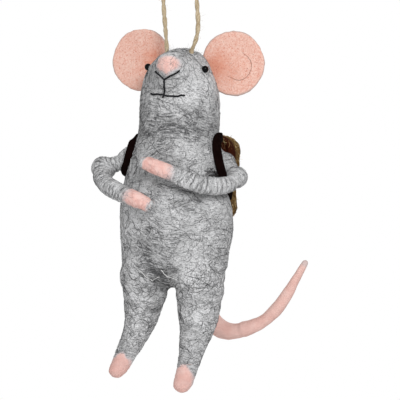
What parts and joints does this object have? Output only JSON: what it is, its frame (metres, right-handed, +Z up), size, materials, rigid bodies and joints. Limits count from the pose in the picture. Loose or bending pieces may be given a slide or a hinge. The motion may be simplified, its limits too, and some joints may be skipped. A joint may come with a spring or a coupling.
{
  "type": "felted mouse hanging ornament",
  "caption": "Soft wool mouse that hangs from a loop of twine, with round felt ears, bead eyes, bendable limbs and tail, and a felt backpack on shoulder straps.",
  "frame": {"origin": "top of the hanging loop, on the vertical plane through both strands", "axes": "+Z up along the hanging loop, -Y the way the mouse faces, +X the mouse's left side"},
  "size_m": [0.0786, 0.0506, 0.1879],
  "materials": {
    "twine": "two-ply jute twine",
    "grey_wool": "needle-felted heather wool",
    "ear_felt": "pressed wool felt",
    "pink_wool": "needle-felted wool",
    "black_bead": "polished bead",
    "black_thread": "cotton thread",
    "steel_wire": "soft drawn wire",
    "brown_felt": "fuzzy wool felt",
    "olive_felt": "fuzzy wool felt",
    "strap_felt": "wool felt strip"
  },
  "bodies": {
    "hanger": {"hanging_cord": "twine", "cord_inner_run": "twine", "cord_knot": "twine"},
    "mouse": {"body_wool": "grey_wool", "ear_left": "ear_felt", "ear_right": "ear_felt", "nose": "pink_wool", "eye_left": "black_bead", "eye_right": "black_bead", "eye_thread": "black_thread", "muzzle_stitch": "black_thread", "mouth_stitch": "black_thread", "shoulder_wire": "steel_wire", "hip_wire": "steel_wire", "tail_anchor_wire": "steel_wire", "backpack_bag": "brown_felt", "backpack_flap": "olive_felt", "strap_left": "strap_felt", "strap_right": "strap_felt"},
    "left_upper_arm": {"upper_arm_left": "grey_wool", "upper_arm_wire_left": "steel_wire"},
    "left_forearm": {"forearm_left": "grey_wool", "paw_left": "pink_wool", "forearm_wire_left": "steel_wire"},
    "right_upper_arm": {"upper_arm_right": "grey_wool", "upper_arm_wire_right": "steel_wire"},
    "right_forearm": {"forearm_right": "grey_wool", "paw_right": "pink_wool", "forearm_wire_right": "steel_wire"},
    "left_leg": {"leg_left": "grey_wool", "foot_left": "pink_wool", "leg_wire_left": "steel_wire"},
    "right_leg": {"leg_right": "grey_wool", "foot_right": "pink_wool", "leg_wire_right": "steel_wire"},
    "tail_root": {"tail_base": "pink_wool", "tail_base_wire": "steel_wire"},
    "tail_end": {"tail_tip": "pink_wool", "tail_tip_wire": "steel_wire"}
  },
  "joints": [
    {"name": "loop_swing", "type": "hinge", "parent": "hanger", "child": "mouse", "pos_m": [0, 0, -0.0675], "axis": [1, 0, 0], "range_deg": [-30, 30]},
    {"name": "shoulder_left", "type": "hinge", "parent": "mouse", "child": "left_upper_arm", "pos_m": [0.0156, 0.005, -0.1058], "axis": [-0.7071, 0, 0.7071], "range_deg": [0, 60]},
    {"name": "elbow_left", "type": "hinge", "parent": "left_upper_arm", "child": "left_forearm", "pos_m": [0.022, -0.0002, -0.1106], "axis": [0, 0, 1], "range_deg": [0, 60]},
    {"name": "shoulder_right", "type": "hinge", "parent": "mouse", "child": "right_upper_arm", "pos_m": [-0.019, 0.0025, -0.103], "axis": [-0.7071, 0, -0.7071], "range_deg": [0, 60]},
    {"name": "elbow_right", "type": "hinge", "parent": "right_upper_arm", "child": "right_forearm", "pos_m": [-0.0286, -0.002, -0.1068], "axis": [0, 0, -1], "range_deg": [0, 60]},
    {"name": "hip_left", "type": "hinge", "parent": "mouse", "child": "left_leg", "pos_m": [0.0084, -0.001, -0.146], "axis": [-1, 0, 0], "range_deg": [-12, 45]},
    {"name": "hip_right", "type": "hinge", "parent": "mouse", "child": "right_leg", "pos_m": [-0.012, -0.001, -0.146], "axis": [-1, 0, 0], "range_deg": [-12, 45]},
    {"name": "tail_lift", "type": "hinge", "parent": "mouse", "child": "tail_root", "pos_m": [0, 0.0125, -0.138], "axis": [1, 0, 0], "range_deg": [0, 50]},
    {"name": "tail_curl", "type": "hinge", "parent": "tail_root", "child": "tail_end", "pos_m": [0.0205, 0.0136, -0.1661], "axis": [0, 1, 0], "range_deg": [-40, 35]}
  ]
}
